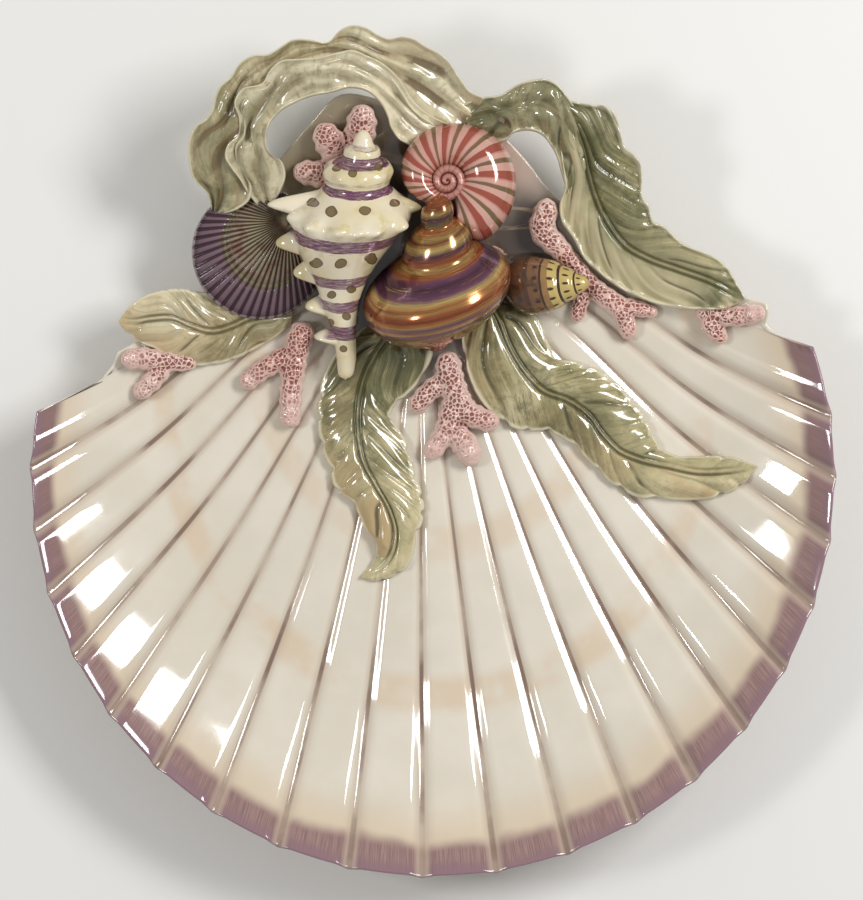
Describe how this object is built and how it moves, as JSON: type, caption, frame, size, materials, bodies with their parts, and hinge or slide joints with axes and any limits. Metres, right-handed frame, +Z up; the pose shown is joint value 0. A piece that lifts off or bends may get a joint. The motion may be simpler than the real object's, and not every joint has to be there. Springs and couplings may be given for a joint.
{
  "type": "canape plate",
  "caption": "Glazed earthenware scallop dish with a kelp loop handle, sea shells and pink coral sprigs.",
  "frame": {"origin": "on the table, under the middle of the plate's outline", "axes": "+Z up, +Y from the serving side towards the kelp handle, +X to the right of someone who faces the handle"},
  "size_m": [0.2356, 0.2478, 0.0432],
  "materials": {
    "dish_glaze": "cream glossy glaze, mauve rim",
    "kelp_glaze": "olive glossy watercolour glaze",
    "coral_glaze": "pink glaze with dark pits",
    "fan_glaze": "purple glossy glaze",
    "olive_shell_glaze": "brown and yellow glossy glaze",
    "turban_glaze": "copper, gold and purple lustre glaze",
    "spindle_glaze": "ivory glossy glaze with purple bands",
    "coil_glaze": "rose glossy glaze with radial stripes"
  },
  "bodies": {
    "root": {"scallop_dish": "dish_glaze", "kelp_loop_inner": "kelp_glaze", "kelp_loop_outer": "kelp_glaze", "kelp_frond_right": "kelp_glaze", "kelp_arch_right": "kelp_glaze", "kelp_leaf_left": "kelp_glaze", "kelp_leaf_front_left": "kelp_glaze", "kelp_leaf_front_right": "kelp_glaze", "coral_upper": "coral_glaze", "coral_far_left": "coral_glaze", "coral_left": "coral_glaze", "coral_centre": "coral_glaze", "coral_right": "coral_glaze", "coral_far_right": "coral_glaze", "fan_shell": "fan_glaze", "olive_shell": "olive_shell_glaze", "turban_shell": "turban_glaze", "spindle_shell": "spindle_glaze", "coiled_shell": "coil_glaze"}
  },
  "joints": []
}
